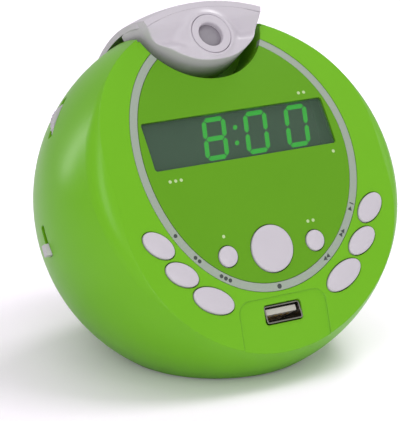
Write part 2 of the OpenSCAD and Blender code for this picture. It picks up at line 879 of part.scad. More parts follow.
module slide_switch() color(steel) at_face()
    translate([switch_u + switch_w / 2, slide_v + slide_travel / 2, main_front])
        box([switch_w, switch_l, 2 * (slide_n - main_front)]);

// ---------- projector ----------

pod_r = bay_r - pod_gap;
pod_out = ball_r + pod_rise;
pod_in = pod_out - pod_cover_t;
pod_wall = 1.6;
pod_floor = bay_floor + 1.5;
dish = 4;                   // depth of the dish round the nose
plate_t = 1.8;
plate_n = pod_front - dish - plate_t;
rim_w = 0.7;                // width of the rim at its edge and at the bottom of the dish
rim_foot = 4;
seam_gap = 0.05;
strip_inset = 0.25;         // how far the cover's strip is narrower than its round part, each side
tube_wall = 1.6;
tube_n = 16.6;
nose_base_r = 13;
nose_top_r = 7.7;
nose_h = 5;
nose_n = pod_front - dish + nose_h;
tube_r = focus_r + fit + 0.05;
screen_n = 14.2;
screen_t = 1.8;
screen_w = 17;
screen_h = 9;

module pod_rod(r, n0, n1) translate([0, bay_v, n0]) cylinder(r = r, h = n1 - n0, $fn = ball_fn);

module projector_body() color(lilac_white) at_pod() difference() {
    intersection() {
        union() {
            // Cup with the dish in front, open at the top
            difference() {
                pod_rod(pod_r, pod_floor, pod_front);
                pod_rod(pod_r - pod_wall, pod_floor + pod_wall, plate_n);
                translate([0, bay_v, pod_front - dish])
                    cylinder(r1 = pod_r - rim_foot, r2 = pod_r - rim_w, h = dish + eps, $fn = ball_fn);
            }
            // Nose
            intersection() {
                pod_rod(pod_r, plate_n, nose_n + 1);
                translate([0, lens_v, pod_front - dish - eps])
                    cylinder(r1 = nose_base_r, r2 = nose_top_r, h = nose_h + eps, $fn = ball_fn);
            }
            translate([0, lens_v, tube_n])
                cylinder(r = tube_r + tube_wall, h = plate_n - tube_n + eps, $fn = fine_fn);
            // Posts of the small screen
            for (x = [-1, 1]) translate([x * screen_w / 2, lens_v, pod_floor])
                cylinder(r = 1.6, h = screen_n - pod_floor, $fn = fine_fn);
        }
        sphere(r = pod_in - seam_gap, $fn = ball_fn);
    }
    translate([0, lens_v, tube_n - 1]) cylinder(r = tube_r, h = 30, $fn = fine_fn);
}

module projector_cover() color(lilac_white) at_pod() difference() {
    union() {
        intersection() {
            difference() {
                sphere(r = pod_out, $fn = ball_fn);
                sphere(r = pod_in, $fn = ball_fn);
            }
            union() {
                pod_rod(pod_r, pod_floor, pod_front);
                rotate([face_tilt - 90, 0, 0]) strip_zone(pod_r - strip_inset, barrel_r - 0.4);
            }
        }
        intersection() {
            sphere(r = pod_out, $fn = ball_fn);
            in_pod_hinge() translate([0, -barrel_r / 2, barrel_r / 2 + 1])
                cube([barrel_l, barrel_r + 0.4, barrel_r + 2], center = true);
        }
        in_pod_hinge() rod_x(barrel_r, barrel_l);
    }
    in_pod_hinge() rod_x(pin_r + fit, barrel_l + 2);
}

module hinge_pin() color(steel) at_ball() in_hinge()
    translate([-0.5, 0, 0]) rod_x(pin_r, barrel_l + 2 * ear_t - 3);

ring_proud = 0.1;           // how far the focus ring stands out of the nose
ring_depth = 9;
ring_n = nose_n + ring_proud;
mouth_r = 5.6;              // mouth of the focus ring, narrowing to the lens's opening
mouth_h = 1;
lens_sink = 3;              // depth of the lens's middle behind the ring's front
lens_n = ring_n - lens_sink;
lens_t = 2.6;
lens_curve = 12;            // radius of both faces of the lens
lens_r = lens_hole_r + 0.8;
// Height at which the lens's front meets the edge of the hole
lens_seat = cut_r(lens_curve, lens_hole_r) - lens_curve + lens_t / 2 + eps;

module focus_ring() color(lilac_white) at_pod() translate([0, lens_v, 0]) difference() {
    translate([0, 0, ring_n - ring_depth]) cylinder(r = focus_r, h = ring_depth, $fn = fine_fn);
    cylinder(r = lens_hole_r, h = 60, $fn = fine_fn);
    translate([0, 0, ring_n - mouth_h])
        cylinder(r1 = lens_hole_r, r2 = mouth_r, h = mouth_h + eps, $fn = fine_fn);
    translate([0, 0, lens_n + lens_seat - 30]) cylinder(r = lens_r + 0.02, h = 30, $fn = fine_fn);
}

module projector_lens() color([0.7, 0.8, 0.85]) at_pod() translate([0, lens_v, lens_n]) intersection() {
    translate([0, 0, -lens_t]) cylinder(r = lens_r, h = 2 * lens_t, $fn = fine_fn);
    translate([0, 0, lens_t / 2 - lens_curve]) sphere(r = lens_curve, $fn = roll_fn);
    translate([0, 0, lens_curve - lens_t / 2]) sphere(r = lens_curve, $fn = roll_fn);
}

module projector_screen() color([0.3, 0.3, 0.35]) at_pod()
    translate([0, lens_v, screen_n]) box([screen_w, screen_h, screen_t]);

lamp_plate = [12, 10, 1.2];
lamp_body_r = 2.5;
lamp_body_h = 2;
lamp_dome_r = 1.4;

module projector_lamp() color([0.9, 0.9, 0.7]) at_pod() translate([0, lens_v, pod_floor + pod_wall]) {
    box(lamp_plate);
    cylinder(r = lamp_body_r, h = lamp_body_h, $fn = fine_fn);
    translate([0, 0, lamp_body_h]) sphere(r = lamp_dome_r, $fn = fine_fn);
}

// ---------- speaker ----------

basket_l = 7;
basket_r = 10;
cone_r = speaker_r - 3.4;
magnet_t = 6;

// Turned about the speaker's axis: points are [radius, distance in front of the flange's back]
module turned()
    translate([0, speaker_y, speaker_z]) rotate([-90, 0, 0]) rotate_extrude($fn = ball_fn) children();

module speaker_frame() color(dark) at_ball() turned() {
    difference() {
        polygon([
            [0, -basket_l], [basket_r, -basket_l], [speaker_r - 2, 0], [speaker_r, 0],
            [speaker_r, flange_t], [0, flange_t]
        ]);
        polygon([
            [0, -basket_l + 1], [basket_r - 0.5, -basket_l + 1], [speaker_r - 3, 0.4],
            [speaker_r - 3, flange_t + 1], [0, flange_t + 1]
        ]);
    }
}

module speaker_cone() color([0.2, 0.2, 0.2]) at_ball() turned() {
    polygon([
        [cone_r, 1], [speaker_r - 3, 1], [speaker_r - 3, 0.5], [cone_r, 0.5], [3.6, -3.6], [3, -5.9],
        [2.2, -5.9], [2.6, -3], [3.4, -2.8]
    ]);
    intersection() {
        translate([0, -8]) circle(r = 5.8, $fn = fine_fn);
        translate([0, -3.2]) square([3.2, 4]);
    }
}

module speaker_magnet() color(steel) at_ball()
    translate([0, speaker_y - basket_l - magnet_t, speaker_z]) rod_back(basket_r, magnet_t);

// ---------- sockets ----------

power_w = 9;                // size of the power socket's block
power_h = 11;
power_l = 9.5;              // depth of the power socket
power_pin_r = 1;
jack_board_w = 48;
jack_back = jack_board_y + board_t;

// Inside of the ball behind its centre
function inner_y(x, z) = sqrt(cavity_r * cavity_r - x * x - z * z);

jack_front = inner_y(jack_x + power_w / 2, jack_z - power_h / 2) - 0.4;

module jack_board() color(board_green) at_ball() difference() {
    translate([0, jack_board_y + board_t / 2, jack_z]) cube([jack_board_w, board_t, power_h], center = true);
    at_jack_bosses(jack_board_y - 1) rod_back(screw_r + fit, board_t + 2);
}

module jack_block(x, w, h)
    translate([x - w / 2, jack_back, jack_z - h / 2]) cube([w, jack_front - jack_back, h]);

module power_jack() color(dark) at_ball() {
    difference() {
        union() {
            jack_block(-jack_x, power_w, power_h);
            translate([-jack_x, jack_back, jack_z]) rod_back(power_r + 1, pocket_y - jack_back);
        }
        translate([-jack_x, pocket_y - power_l, jack_z]) rod_back(power_r, power_l + 1);
    }
    translate([-jack_x, pocket_y - power_l - 0.5, jack_z]) rod_back(power_pin_r, power_l);
}

aux_w = 8;                  // size of the audio socket's block
aux_h = 9;
aux_nose = 0.8;
aux_l = 11;

module audio_jack() color(dark) at_ball() difference() {
    union() {
        jack_block(jack_x, aux_w, aux_h);
        translate([jack_x, jack_back, jack_z]) rod_back(3, pocket_y + aux_nose - jack_back);
    }
    translate([jack_x, pocket_y + aux_nose - aux_l, jack_z]) rod_back(aux_r, aux_l + 1);
}

module jack_screws() color(steel) at_ball() at_jack_bosses(jack_board_y)
    rotate([90, 0, 0]) screw(head_r, head_t, screw_r, 5.4);

// ---------- base parts ----------

module battery_tray() color(dark) at_ball() translate([0, 0, floor_z + eps]) difference() {
    box([tray_l + 2 * tray_wall, tray_w + 2 * tray_wall, tray_h + tray_wall]);
    translate([0, 0, -1]) box([tray_l, tray_w, tray_h + 1]);
}

cell_z = floor_z + cell_d / 2 + 0.25;

module at_cells() for (s = [-1, 1])
    translate([0, s * (cell_d / 2 + 0.3), cell_z]) rotate([0, 0, s < 0 ? 180 : 0]) children();

module backup_cells() color([0.75, 0.6, 0.35]) at_ball() at_cells() translate([tray_spare / 2 - 1, 0, 0]) {
    rod_x(cell_d / 2, cell_l - 1);
    translate([cell_l / 2, 0, 0]) rod_x(2.7, 1 + eps);
}

plate = 0.4;

module battery_contacts() color(steel) at_ball() at_cells() {
    translate([tray_l / 2 - plate / 2, 0, 0]) cube([plate, cell_d - 2, cell_d - 2], center = true);
    translate([-tray_l / 2 + plate / 2, 0, 0]) {
        cube([plate, cell_d - 2, cell_d - 2], center = true);
        translate([1.6, 0, 0]) rod_x(2.6, 3);
    }
}

module battery_door() color(case_green) at_ball() translate([0, 0, base_z + eps]) {
    linear_extrude(door_t)
        round_rect(tray_l + 2 * (door_lip - door_gap), tray_w + 2 * (door_lip - door_gap), 1.8);
    linear_extrude(shell_wall - 0.1) square([tray_l - 2 * door_gap, tray_w - 2 * door_gap], center = true);
}

module case_screws() color(steel) at_ball() at_posts(seam_y + case_seat)
    rotate([-90, 0, 0]) screw(case_head_r, case_head_t, case_shank_r, case_shank_l);

module base_feet() color([0.2, 0.2, 0.2]) at_ball() at_feet(base_z - foot_proud)
    cylinder(r = foot_r, h = foot_seat + foot_proud - eps, $fn = fine_fn);

front_shell();
rear_cover();
face_panel();
ring_trim();
display_window();
main_button();
hour_button();
minute_button();
left_upper_button();
left_middle_button();
left_lower_button();
right_upper_button();
right_middle_button();
right_lower_button();
display_board();
led_display();
lit_segments();
tact_switches();
display_screws();
usb_shell();
usb_tongue();
usb_contacts();
usb_board();
main_board();
main_screws();
tuner_can();
chips();
volume_wheel();
volume_pot();
slide_knob();
slide_switch();
projector_body();
projector_cover();
focus_ring();
projector_lens();
projector_screen();
projector_lamp();
hinge_pin();
speaker_frame();
speaker_cone();
speaker_magnet();
jack_board();
power_jack();
audio_jack();
jack_screws();
battery_tray();
backup_cells();
battery_contacts();
battery_door();
case_screws();
base_feet();
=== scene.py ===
"""Looks of a projection alarm clock, laid out as a Blender add-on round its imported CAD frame."""

import math

import bmesh
import bpy
import numpy as np
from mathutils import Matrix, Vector


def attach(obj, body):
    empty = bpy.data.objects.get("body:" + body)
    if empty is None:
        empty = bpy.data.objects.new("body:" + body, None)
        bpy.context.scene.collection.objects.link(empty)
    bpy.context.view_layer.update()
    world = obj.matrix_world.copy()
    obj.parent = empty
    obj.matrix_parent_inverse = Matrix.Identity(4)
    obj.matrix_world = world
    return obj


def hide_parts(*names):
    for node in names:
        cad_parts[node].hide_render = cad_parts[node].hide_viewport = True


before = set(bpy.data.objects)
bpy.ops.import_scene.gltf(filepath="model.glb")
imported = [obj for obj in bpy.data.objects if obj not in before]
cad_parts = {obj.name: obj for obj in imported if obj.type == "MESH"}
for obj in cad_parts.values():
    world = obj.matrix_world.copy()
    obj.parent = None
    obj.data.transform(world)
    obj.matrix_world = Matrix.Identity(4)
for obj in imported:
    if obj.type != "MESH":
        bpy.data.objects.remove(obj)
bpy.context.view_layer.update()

bl_info = {
    "name": "Projection Alarm Clock",
    "version": (1, 0, 0),
    "blender": (4, 5, 0),
    "location": "View3D > Sidebar > Clock",
    "description": "Key caps, projector head, prints and finishes of a ball-shaped projection alarm clock",
    "category": "Object",
}

MM = 0.001

# ---------- frames, in millimetres ----------

BALL_CENTRE = np.array([0.0, 0.0, 51.0])
FACE_LEAN = math.radians(33)
FACE_SIN, FACE_COS = math.sin(FACE_LEAN), math.cos(FACE_LEAN)
FACE_DIST = 28.1  # from the ball's centre to the middle of the face
FACE_R = 180.0  # the face is rolled to this radius
HINGE_Y, HINGE_Z = 42.3, 36.5  # behind and above the ball's centre
HINGE_V = HINGE_Y * FACE_SIN + HINGE_Z * FACE_COS
HINGE_N = HINGE_Z * FACE_SIN - HINGE_Y * FACE_COS
POD_RAISED = math.radians(6)


def in_face(u, v, n):
    """Point of the face frame, in metres: u across, v up the face, n out of it, from the ball's centre."""
    u, v, n = np.broadcast_arrays(u, v, n)
    turned = np.stack([u, v * FACE_SIN - n * FACE_COS, v * FACE_COS + n * FACE_SIN], -1)
    return (turned + BALL_CENTRE) * MM


def in_pod(u, v, n):
    """Point of the projector's own face frame, in metres: the face frame turned about the hinge by the
    angle that the projector is raised."""
    dv, dn = np.asarray(v) - HINGE_V, np.asarray(n) - HINGE_N
    s, c = math.sin(POD_RAISED), math.cos(POD_RAISED)
    return in_face(u, dv * c + dn * s + HINGE_V, dn * c - dv * s + HINGE_N)


def face_height(v):
    """Height of the face over the ball's centre: it is rolled about a level axis, a circle of FACE_R."""
    return FACE_DIST - FACE_R + np.sqrt(FACE_R**2 - np.asarray(v, float) ** 2)


# ---------- meshes ----------

MERGE = 1e-7  # points closer than this, in metres, are one
CREASE = 35  # degrees, past which an edge stays sharp


def mesh_object(name, points, faces, smooth=CREASE):
    """Object of one mesh: doubles merged, faces outwards, and edges sharper than smooth degrees kept."""
    mesh = bpy.data.meshes.new(name)
    mesh.from_pydata(np.asarray(points).tolist(), [], faces)
    made = bmesh.new()
    made.from_mesh(mesh)
    bmesh.ops.remove_doubles(made, verts=made.verts, dist=MERGE)
    bmesh.ops.recalc_face_normals(made, faces=made.faces)
    made.to_mesh(mesh)
    made.free()
    mesh.shade_smooth()
    mesh.set_sharp_from_angle(angle=math.radians(smooth))
    thing = bpy.data.objects.new(name, mesh)
    bpy.context.scene.collection.objects.link(thing)
    return thing


def skin(name, rows, start=True, end=True, smooth=CREASE):
    """Closed skin over rings of points: ring i is rows[i], each ring closes on itself, neighbouring rings
    are joined by quads, and a fan to the ring's mean point closes either end."""
    rows = np.asarray(rows, float)
    count, width = rows.shape[:2]
    i, j = np.meshgrid(np.arange(count - 1), np.arange(width), indexing="ij")
    k = (j + 1) % width
    quads = np.stack([i * width + j, i * width + k, (i + 1) * width + k, (i + 1) * width + j], -1)
    points = [rows.reshape(-1, 3)]
    faces = quads.reshape(-1, 4).tolist()
    ring = np.arange(width)
    for wanted, first in ((start, 0), (end, (count - 1) * width)):
        if wanted:
            tip = sum(len(p) for p in points)
            points.append(rows[first // width].mean(0)[None])
            fan = np.stack([first + ring, first + (ring + 1) % width, np.full(width, tip)], -1)
            faces += fan.tolist()
    return mesh_object(name, np.concatenate(points), faces, smooth)


def place(thing, material, slot, body, *nodes):
    """Finish and body of a new piece, and the CAD nodes it stands for; slot is not used."""
    thing.data.materials.clear()
    thing.data.materials.append(FINISHES[material]())
    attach(thing, body)
    if nodes:
        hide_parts(*nodes)
    return thing


def turn(count):
    """Angles all the way round, without the last."""
    return np.linspace(0, 2 * math.pi, count, endpoint=False)


def arc(centre, radius, first, last, count):
    """Points of a circle's arc in a section, angles in degrees."""
    a = np.radians(np.linspace(first, last, count))
    return np.stack([centre[0] + radius * np.cos(a), centre[1] + radius * np.sin(a)], -1)


def hump(t):
    """Smooth bump: one at 0, nothing from 1 outwards, after the squared cosine."""
    return np.cos(np.clip(np.abs(t), 0, 1) * math.pi / 2) ** 2


def soft_max(a, b, blend):
    """Larger of two heights, rounded over blend where they meet."""
    h = np.clip(0.5 + 0.5 * (a - b) / blend, 0, 1)
    return b + (a - b) * h + blend * h * (1 - h)


# ---------- materials ----------


def linear(colour):
    """sRGB hex to linear, with alpha."""
    parts = [int(colour[i : i + 2], 16) / 255 for i in (1, 3, 5)]
    return [p / 12.92 if p <= 0.04045 else ((p + 0.055) / 1.055) ** 2.4 for p in parts] + [1.0]


def add(tree, kind, settings=(), links=()):
    """Adds a node with its settings, a property or a socket each, and its links."""
    node = tree.nodes.new(kind)
    for key, value in dict(settings).items():
        if isinstance(key, str) and hasattr(node, key):
            setattr(node, key, value)
        else:
            node.inputs[key].default_value = value
    for key, source in dict(links).items():
        tree.links.new(source, node.inputs[key])
    return node


def fresh(name):
    """Empty material, or the finished one of that name."""
    made = bpy.data.materials.get(name)
    if made:
        return made, None
    made = bpy.data.materials.new(name)
    made.use_nodes = True
    made.node_tree.nodes.clear()
    return made, made.node_tree


BEVEL_SAMPLES = 6


def body_of_stuff(
    name,
    tones,
    tone_mm,
    grain_mm,
    rough,
    bump_mm,
    edge_mm,
    stretch=(1, 1, 1),
    **sockets,
):
    """Solid stuff: two close tones in soft patches of tone_mm, a grain of grain_mm in roughness and height,
    and edges eased by edge_mm. Other Principled sockets are constants. Real grain is finer than most of the
    grains given here, which are as coarse as they need to be to show."""
    made, tree = fresh(name)
    if tree is None:
        return made
    place_of = add(tree, "ShaderNodeTexCoord").outputs["Object"]
    stretched = add(tree, "ShaderNodeMapping", {"Scale": stretch}, {"Vector": place_of}).outputs[0]
    patches = add(
        tree, "ShaderNodeTexNoise", {"Scale": 1 / (tone_mm * MM), "Detail": 3.0}, {"Vector": stretched}
    )
    colour = add(
        tree,
        "ShaderNodeMix",
        {"data_type": "RGBA", 6: linear(tones[0]), 7: linear(tones[1])},
        {"Factor": patches.outputs[0]},
    )
    grain = add(
        tree, "ShaderNodeTexNoise", {"Scale": 1 / (grain_mm * MM), "Detail": 2.0}, {"Vector": stretched}
    )
    roughness = add(
        tree, "ShaderNodeMapRange", {"To Min": rough[0], "To Max": rough[1]}, {"Value": grain.outputs[0]}
    )
    eased = add(tree, "ShaderNodeBevel", {"samples": BEVEL_SAMPLES, "Radius": edge_mm * MM})
    raised = add(
        tree,
        "ShaderNodeBump",
        {"Strength": 1.0, "Distance": bump_mm * MM},
        {"Height": grain.outputs[0], "Normal": eased.outputs[0]},
    )
    surface = add(
        tree,
        "ShaderNodeBsdfPrincipled",
        {key.replace("_", " "): value for key, value in sockets.items()},
        {"Base Color": colour.outputs[2], "Roughness": roughness.outputs[0], "Normal": raised.outputs[0]},
    )
    add(tree, "ShaderNodeOutputMaterial", (), {"Surface": surface.outputs[0]})
    return made


# ABS dyed green and moulded in a polished tool: glossy, with the faint orange peel of the mould.
def green_abs():
    return body_of_stuff(
        "green_abs_gloss", ("#76BD1A", "#70B814"), 24, 1.1, (0.27, 0.33), 0.004, 0.5,
        IOR=1.5, Specular_IOR_Level=0.36,
    )


# The panel inside the ring: the same ABS, a little darker than the shell's green, and satin.
def panel_abs():
    return body_of_stuff(
        "green_abs_satin", ("#65A312", "#61A00F"), 20, 0.7, (0.36, 0.44), 0.004, 0.15,
        Specular_IOR_Level=0.3,
    )


# Unpainted white ABS with a trace of violet, moulded in a fine-ground tool: satin, with softly eased edges.
def white_abs():
    return body_of_stuff(
        "white_abs_satin", ("#D2CBD4", "#CEC7D1"), 12, 0.8, (0.34, 0.42), 0.004, 0.3,
        Specular_IOR_Level=0.4,
    )


# ABS sprayed with a fine silver lacquer: dull metal flakes in a clear binder, drawn coarser than real ones.
def silver_lacquer():
    return body_of_stuff(
        "silver_lacquer", ("#B0BBAC", "#A6B2A5"), 0.5, 0.25, (0.38, 0.5), 0.006, 0.15,
        Metallic=0.35, Coat_Weight=0.15, Coat_Roughness=0.25,
    )


# Nickel-plated sheet steel, stamped and folded: bright, with drawing marks along its length, drawn coarse.
def nickel_steel():
    return body_of_stuff(
        "nickel_plated_steel", ("#A8A49D", "#99958F"), 6, 0.3, (0.2, 0.3), 0.004, 0.2, (6, 1, 1),
        Metallic=1.0,
    )


# Zinc-plated screw steel: greyer and duller than nickel.
def zinc_steel():
    return body_of_stuff(
        "zinc_plated_steel", ("#B5B7BA", "#A3A6AB"), 3, 0.3, (0.3, 0.42), 0.006, 0.1, Metallic=1.0
    )


# Spring bronze of the contacts, flashed with gold: bright and warm.
def contact_gold():
    return body_of_stuff(
        "gold_flash", ("#D9B25A", "#CFA64C"), 3, 0.3, (0.2, 0.3), 0.003, 0.05, Metallic=1.0
    )


# Glass-filled nylon of sockets and holders, moulded: black, and dull from its fibres.
def black_nylon():
    return body_of_stuff(
        "black_nylon", ("#1C1C1E", "#232325"), 5, 0.4, (0.42, 0.55), 0.01, 0.1, IOR=1.53
    )


# Natural nylon of the socket's tongue, moulded smooth.
def tongue_nylon():
    return body_of_stuff(
        "tongue_nylon", ("#CFCBC1", "#C6C2B8"), 4, 0.4, (0.35, 0.45), 0.006, 0.1, IOR=1.53
    )


# Glass fibre board under green solder resist: a satin skin, mottled by the weave under it.
def board_laminate():
    return body_of_stuff(
        "board_laminate", ("#1F5B36", "#27673F"), 2, 0.4, (0.3, 0.45), 0.01, 0.05, IOR=1.55
    )


# Epoxy of the chips, moulded and left matt.
def chip_resin():
    return body_of_stuff("chip_resin", ("#202124", "#2B2C30"), 2, 0.3, (0.45, 0.6), 0.01, 0.05)


# Water-clear epoxy of the projector's lamp, cast and glossy.
def lamp_resin():
    return body_of_stuff(
        "lamp_resin", ("#E9EDE6", "#DDE6DA"), 2, 0.5, (0.1, 0.2), 0.002, 0.05, Transmission_Weight=0.6
    )


# Pressed paper cone: matt and felted.
def cone_paper():
    return body_of_stuff("cone_paper", ("#26262A", "#303036"), 3, 0.5, (0.75, 0.9), 0.05, 0.05)


# Sintered and ground ferrite: dark grey and dull.
def ferrite():
    return body_of_stuff("ferrite", ("#3A3A3C", "#444447"), 3, 0.4, (0.6, 0.75), 0.03, 0.2)


# Shrink film round the backup cells: dyed blue, and left plain.
def cell_film():
    return body_of_stuff("cell_film", ("#3F6FA8", "#3A6699"), 6, 0.6, (0.25, 0.35), 0.004, 0.1, IOR=1.5)


# Grey rubber of the feet, moulded: matt and dusty.
def foot_rubber():
    return body_of_stuff("foot_rubber", ("#4A4A4C", "#57575A"), 3, 0.5, (0.7, 0.85), 0.02, 0.3)


# Pad-printed ink on the ring: dark grey-green and matt.
def dark_ink():
    return body_of_stuff("pad_ink_dark", ("#3C4340", "#464D49"), 1, 0.2, (0.5, 0.6), 0.002, 0.02)


# Pad-printed ink on the panel: pale green and matt.
def pale_ink():
    return body_of_stuff("pad_ink_pale", ("#C6DDA4", "#BAD496"), 1, 0.2, (0.5, 0.6), 0.002, 0.02)


# Acrylic lens, moulded with a satin front: grey, because the tube behind it is dark.
def lens_acrylic():
    return body_of_stuff(
        "lens_acrylic", ("#9A959D", "#8E8891"), 2.5, 0.35, (0.26, 0.38), 0.01, 0.1,
        IOR=1.49, Coat_Weight=0.4, Coat_Roughness=0.08,
    )


# Ground glass of the small screen in front of the lamp: grey, and frosted by the grinding.
def ground_glass():
    return body_of_stuff("ground_glass", ("#5A5A66", "#666672"), 2, 0.2, (0.5, 0.6), 0.01, 0.05, IOR=1.5)


# Filled resin of the display module, cast: dull, with a dark grey-green face.
def display_resin():
    return body_of_stuff("display_resin", ("#3A4F42", "#405548"), 9, 0.5, (0.5, 0.6), 0.004, 0.05)


# Smoked acrylic, cut from a clear grey-green sheet: partly see-through, with a satin front.
def window_smoke():
    made, tree = fresh("smoked_acrylic")
    if tree is None:
        return made
    place_of = add(tree, "ShaderNodeTexCoord").outputs["Object"]
    cloud = add(tree, "ShaderNodeTexNoise", {"Scale": 1 / (22 * MM), "Detail": 2.0}, {"Vector": place_of})
    grain = add(tree, "ShaderNodeTexNoise", {"Scale": 1 / (0.6 * MM)}, {"Vector": place_of})
    tint = add(
        tree,
        "ShaderNodeMix",
        {"data_type": "RGBA", 6: linear("#56725C"), 7: linear("#506B57")},
        {"Factor": cloud.outputs[0]},
    )
    rough = add(tree, "ShaderNodeMapRange", {"To Min": 0.22, "To Max": 0.3}, {"Value": grain.outputs[0]})
    surface = add(
        tree,
        "ShaderNodeBsdfPrincipled",
        {"IOR": 1.49, "Alpha": 0.45},
        {"Base Color": tint.outputs[2], "Roughness": rough.outputs[0]},
    )
    add(tree, "ShaderNodeOutputMaterial", (), {"Surface": surface.outputs[0]})
    made.surface_render_method = "BLENDED"
    return made


# Diffusing resin over each bar's green diode: lit, and a little uneven along the bar.
def lit_green():
    made, tree = fresh("lit_green_segments")
    if tree is None:
        return made
    place_of = add(tree, "ShaderNodeTexCoord").outputs["Object"]
    mottle = add(tree, "ShaderNodeTexNoise", {"Scale": 1 / (1.6 * MM), "Detail": 1.0}, {"Vector": place_of})
    glow = add(
        tree,
        "ShaderNodeMix",
        {"data_type": "RGBA", 6: linear("#08D806"), 7: linear("#0CE60A")},
        {"Factor": mottle.outputs[0]},
    )
    surface = add(
        tree,
        "ShaderNodeBsdfPrincipled",
        {"Base Color": linear("#0B3A0A"), "Emission Strength": 1.35, "Roughness": 0.5},
        {"Emission Color": glow.outputs[2]},
    )
    add(tree, "ShaderNodeOutputMaterial", (), {"Surface": surface.outputs[0]})
    return made


FINISHES = {
    maker.__name__: maker
    for maker in (
        green_abs, panel_abs, white_abs, silver_lacquer, nickel_steel, zinc_steel, contact_gold,
        black_nylon, tongue_nylon, board_laminate, chip_resin, lamp_resin, cone_paper, ferrite, cell_film,
        foot_rubber, dark_ink, pale_ink, lens_acrylic, ground_glass, display_resin, window_smoke, lit_green,
    )
}

NODE_FINISH = {
    "green_abs": ("front_shell", "rear_cover", "battery_door"),
    "panel_abs": ("face_panel",),
    "silver_lacquer": ("ring_trim",),
    "window_smoke": ("display_window",),
    "white_abs": (
        "main_button", "hour_button", "minute_button",
        "left_upper_button", "left_middle_button", "left_lower_button",
        "right_upper_button", "right_middle_button", "right_lower_button",
        "volume_wheel", "slide_knob", "projector_body", "projector_cover", "focus_ring",
    ),
    "board_laminate": ("display_board", "usb_board", "main_board", "jack_board"),
    "display_resin": ("led_display",),
    "lit_green": ("lit_segments",),
    "black_nylon": (
        "tact_switches", "volume_pot", "slide_switch", "power_jack", "audio_jack", "battery_tray",
        "speaker_frame",
    ),
    "nickel_steel": ("usb_shell", "tuner_can", "battery_contacts", "hinge_pin"),
    "tongue_nylon": ("usb_tongue",),
    "contact_gold": ("usb_contacts",),
    "zinc_steel": ("display_screws", "main_screws", "jack_screws", "case_screws"),
    "chip_resin": ("chips",),
    "lens_acrylic": ("projector_lens",),
    "ground_glass": ("projector_screen",),
    "lamp_resin": ("projector_lamp",),
    "cone_paper": ("speaker_cone",),
    "ferrite": ("speaker_magnet",),
    "cell_film": ("backup_cells",),
    "foot_rubber": ("base_feet",),
}


# ---------- sizes that a user would change ----------


class ClockSizes(bpy.types.PropertyGroup):
    """Sizes that a user would change."""

    key_crown: bpy.props.FloatProperty(
        name="Key crown",
        description="Rise of a key cap from rim to middle",
        default=0.0005,
        unit="LENGTH",
        precision=5,
    )
    key_edge: bpy.props.FloatProperty(
        name="Key edge",
        description="Radius of a key cap's rounded edge",
        default=0.0006,
        unit="LENGTH",
        precision=5,
    )
    trough_depth: bpy.props.FloatProperty(
        name="Trough depth",
        description="Depth of the level trough across the projector's front",
        default=0.0026,
        unit="LENGTH",
        precision=5,
    )
    groove: bpy.props.FloatProperty(
        name="Ring groove",
        description="Width of the groove round the focus ring",
        default=0.00016,
        unit="LENGTH",
        precision=5,
    )


class ClockLooks(bpy.types.PropertyGroup):
    """Light and colour that a user would change."""

    floor_colour: bpy.props.FloatVectorProperty(
        name="Floor",
        description="Colour that the floor throws back at the clock",
        subtype="COLOR",
        size=3,
        default=(0.68, 0.68, 0.68),
        min=0,
        max=1,
    )
    light: bpy.props.FloatProperty(
        name="Light", description="Share of the plain light level", default=1.0, min=0
    )


class CLOCK_OT_finishes(bpy.types.Operator):
    """Gives every carried-over CAD node the finish of its real material."""

    bl_idname = "clock.finishes"
    bl_label = "Finishes"

    def execute(self, context):
        given = {node: finish for finish, nodes in NODE_FINISH.items() for node in nodes}
        bare = sorted(set(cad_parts) - set(given))
        if bare:
            raise RuntimeError(f"no finish for {bare}")
        for node, finish in given.items():
            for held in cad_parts[node].material_slots:
                held.material = FINISHES[finish]()
        return {"FINISHED"}


# ---------- keys ----------

BUTTON_V = -25.0
KEY_PROUD = 1.2
KEY_SKIRT = 1.3  # how far a cap's side runs on under the face
KEY_ROUND = 96  # points round a cap
KEY_RIM_STEPS = 9
KEY_CROWN_STEPS = 14

# Half width, half height, turn in degrees and place on the face of the key caps
ROUND_KEYS = {
    "main": (7.5, 7.5, 0, 0.0, BUTTON_V),
    "hour": (3.3, 3.3, 0, -16.1, BUTTON_V),
    "minute": (3.3, 3.3, 0, 16.1, BUTTON_V),
}
OVAL_KEYS = {
    "upper": (5.8, 3.5, 40, 39.1, -17.8),
    "middle": (5.9, 3.4, 31, 33.3, -27.9),
    "lower": (7.3, 3.8, 26, 24.1, -37.5),
}


def key_cap(name, half_w, half_h, lean, at_u, at_v, side, crown, edge):
    """Key cap: ellipses stacked from a straight skirt, round a quarter-circle edge, to a crown that falls
    from its middle with the square of the distance, all measured from the rolled face."""
    shoulder = KEY_PROUD - crown - edge
    skirt = np.array([[0.0, -KEY_SKIRT], [0.0, shoulder]])
    rim = arc((edge, shoulder), edge, 180, 90, KEY_RIM_STEPS)[1:]
    side_wall = np.concatenate([skirt, rim])
    inset, height = side_wall[:, 0], side_wall[:, 1]
    grown = np.linspace(1, 0, KEY_CROWN_STEPS)[1:-1]
    t = turn(KEY_ROUND)
    across = np.concatenate([half_w - inset, (half_w - edge) * grown])[:, None] * np.cos(t)
    along = np.concatenate([half_h - inset, (half_h - edge) * grown])[:, None] * np.sin(t)
    height = np.concatenate([height, KEY_PROUD - crown * grown**2])[:, None]
    a = math.radians(lean)
    u = at_u + across * math.cos(a) - along * math.sin(a)
    v = at_v + across * math.sin(a) + along * math.cos(a)
    return skin(name, in_face(u * side, v, face_height(v) + height))


